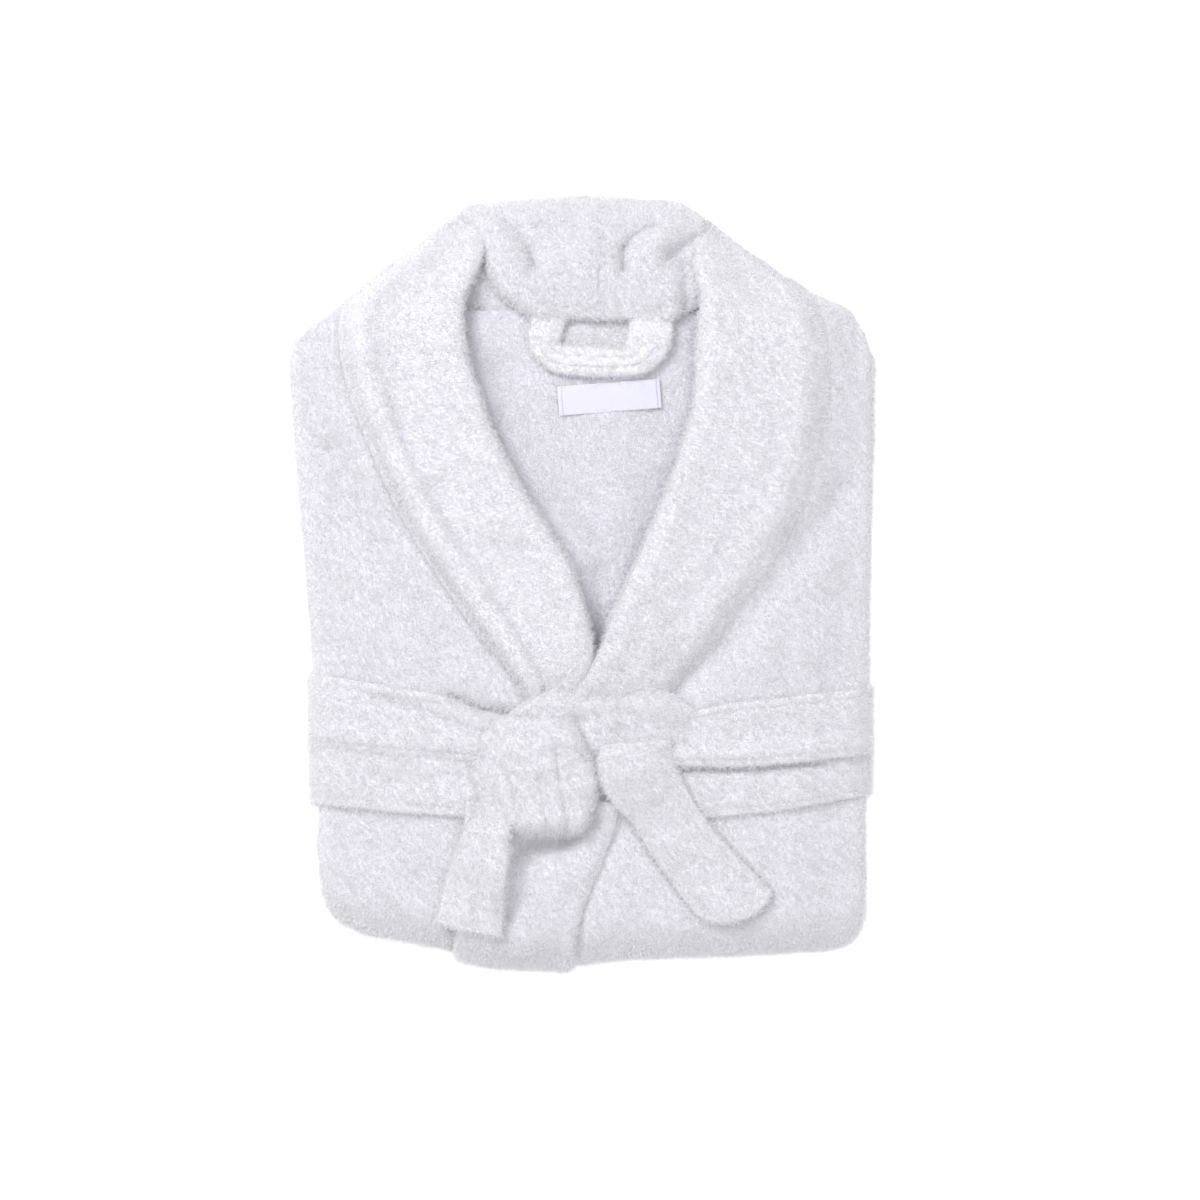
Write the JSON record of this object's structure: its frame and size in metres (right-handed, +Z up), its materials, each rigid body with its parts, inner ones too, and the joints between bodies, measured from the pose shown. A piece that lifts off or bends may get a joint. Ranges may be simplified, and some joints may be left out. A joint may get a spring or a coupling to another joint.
{
  "type": "folded terry bathrobe",
  "caption": "White shawl-collar terry bathrobe folded into a flat bundle and tied round with its own belt, with a hanger loop at the neck.",
  "frame": {"origin": "middle of the bundle's box, on the surface it lies on", "axes": "+Z up, +Y from the tied belt towards the collar, +X towards the front that lies on top at the neck's right, as seen from above"},
  "size_m": [0.3739, 0.494, 0.097],
  "materials": {
    "terry": "white loop-pile cotton terry",
    "collar_terry": "white loop-pile cotton terry, pile brushed in rows",
    "loop_terry": "white terry strip",
    "belt_terry": "white terry, stitched along both edges",
    "woven_label": "smooth white woven satin, blank",
    "thread": "white sewing thread"
  },
  "bodies": {
    "robe": {"back_panel": "terry", "front_panel_left": "terry", "front_panel_right": "terry", "sleeve_left": "terry", "sleeve_right": "terry", "cuff_left": "terry", "cuff_right": "terry", "pocket_left": "terry", "pocket_right": "terry", "belt_guide_left": "terry", "belt_guide_right": "terry", "front_band_right": "terry", "shawl_collar_left": "collar_terry", "shawl_collar_right": "collar_terry", "under_collar_left": "collar_terry", "under_collar_right": "collar_terry", "brand_label": "woven_label", "label_stitches": "thread", "belt_wrap_upper": "belt_terry", "belt_wrap_lower": "belt_terry", "belt_knot_band": "belt_terry", "belt_knot_loop": "belt_terry"},
    "hanger_loop": {"hanger_loop": "loop_terry"},
    "belt_tail_left": {"belt_tail_left": "belt_terry"},
    "belt_tail_right": {"belt_tail_right": "belt_terry"}
  },
  "joints": [
    {"name": "hanger_loop_lift", "type": "hinge", "parent": "robe", "child": "hanger_loop", "pos_m": [0.0135, 0.1695, 0.0627], "axis": [-1, 0, 0], "range_deg": [0, 80]},
    {"name": "belt_tail_right_lift", "type": "hinge", "parent": "robe", "child": "belt_tail_right", "pos_m": [0.034, -0.124, 0.0721], "axis": [-0.8131, -0.5821, 0], "range_deg": [0, 60]},
    {"name": "belt_tail_left_lift", "type": "hinge", "parent": "robe", "child": "belt_tail_left", "pos_m": [-0.0585, -0.163, 0.0721], "axis": [-0.9755, 0.2198, 0], "range_deg": [0, 60]}
  ]
}
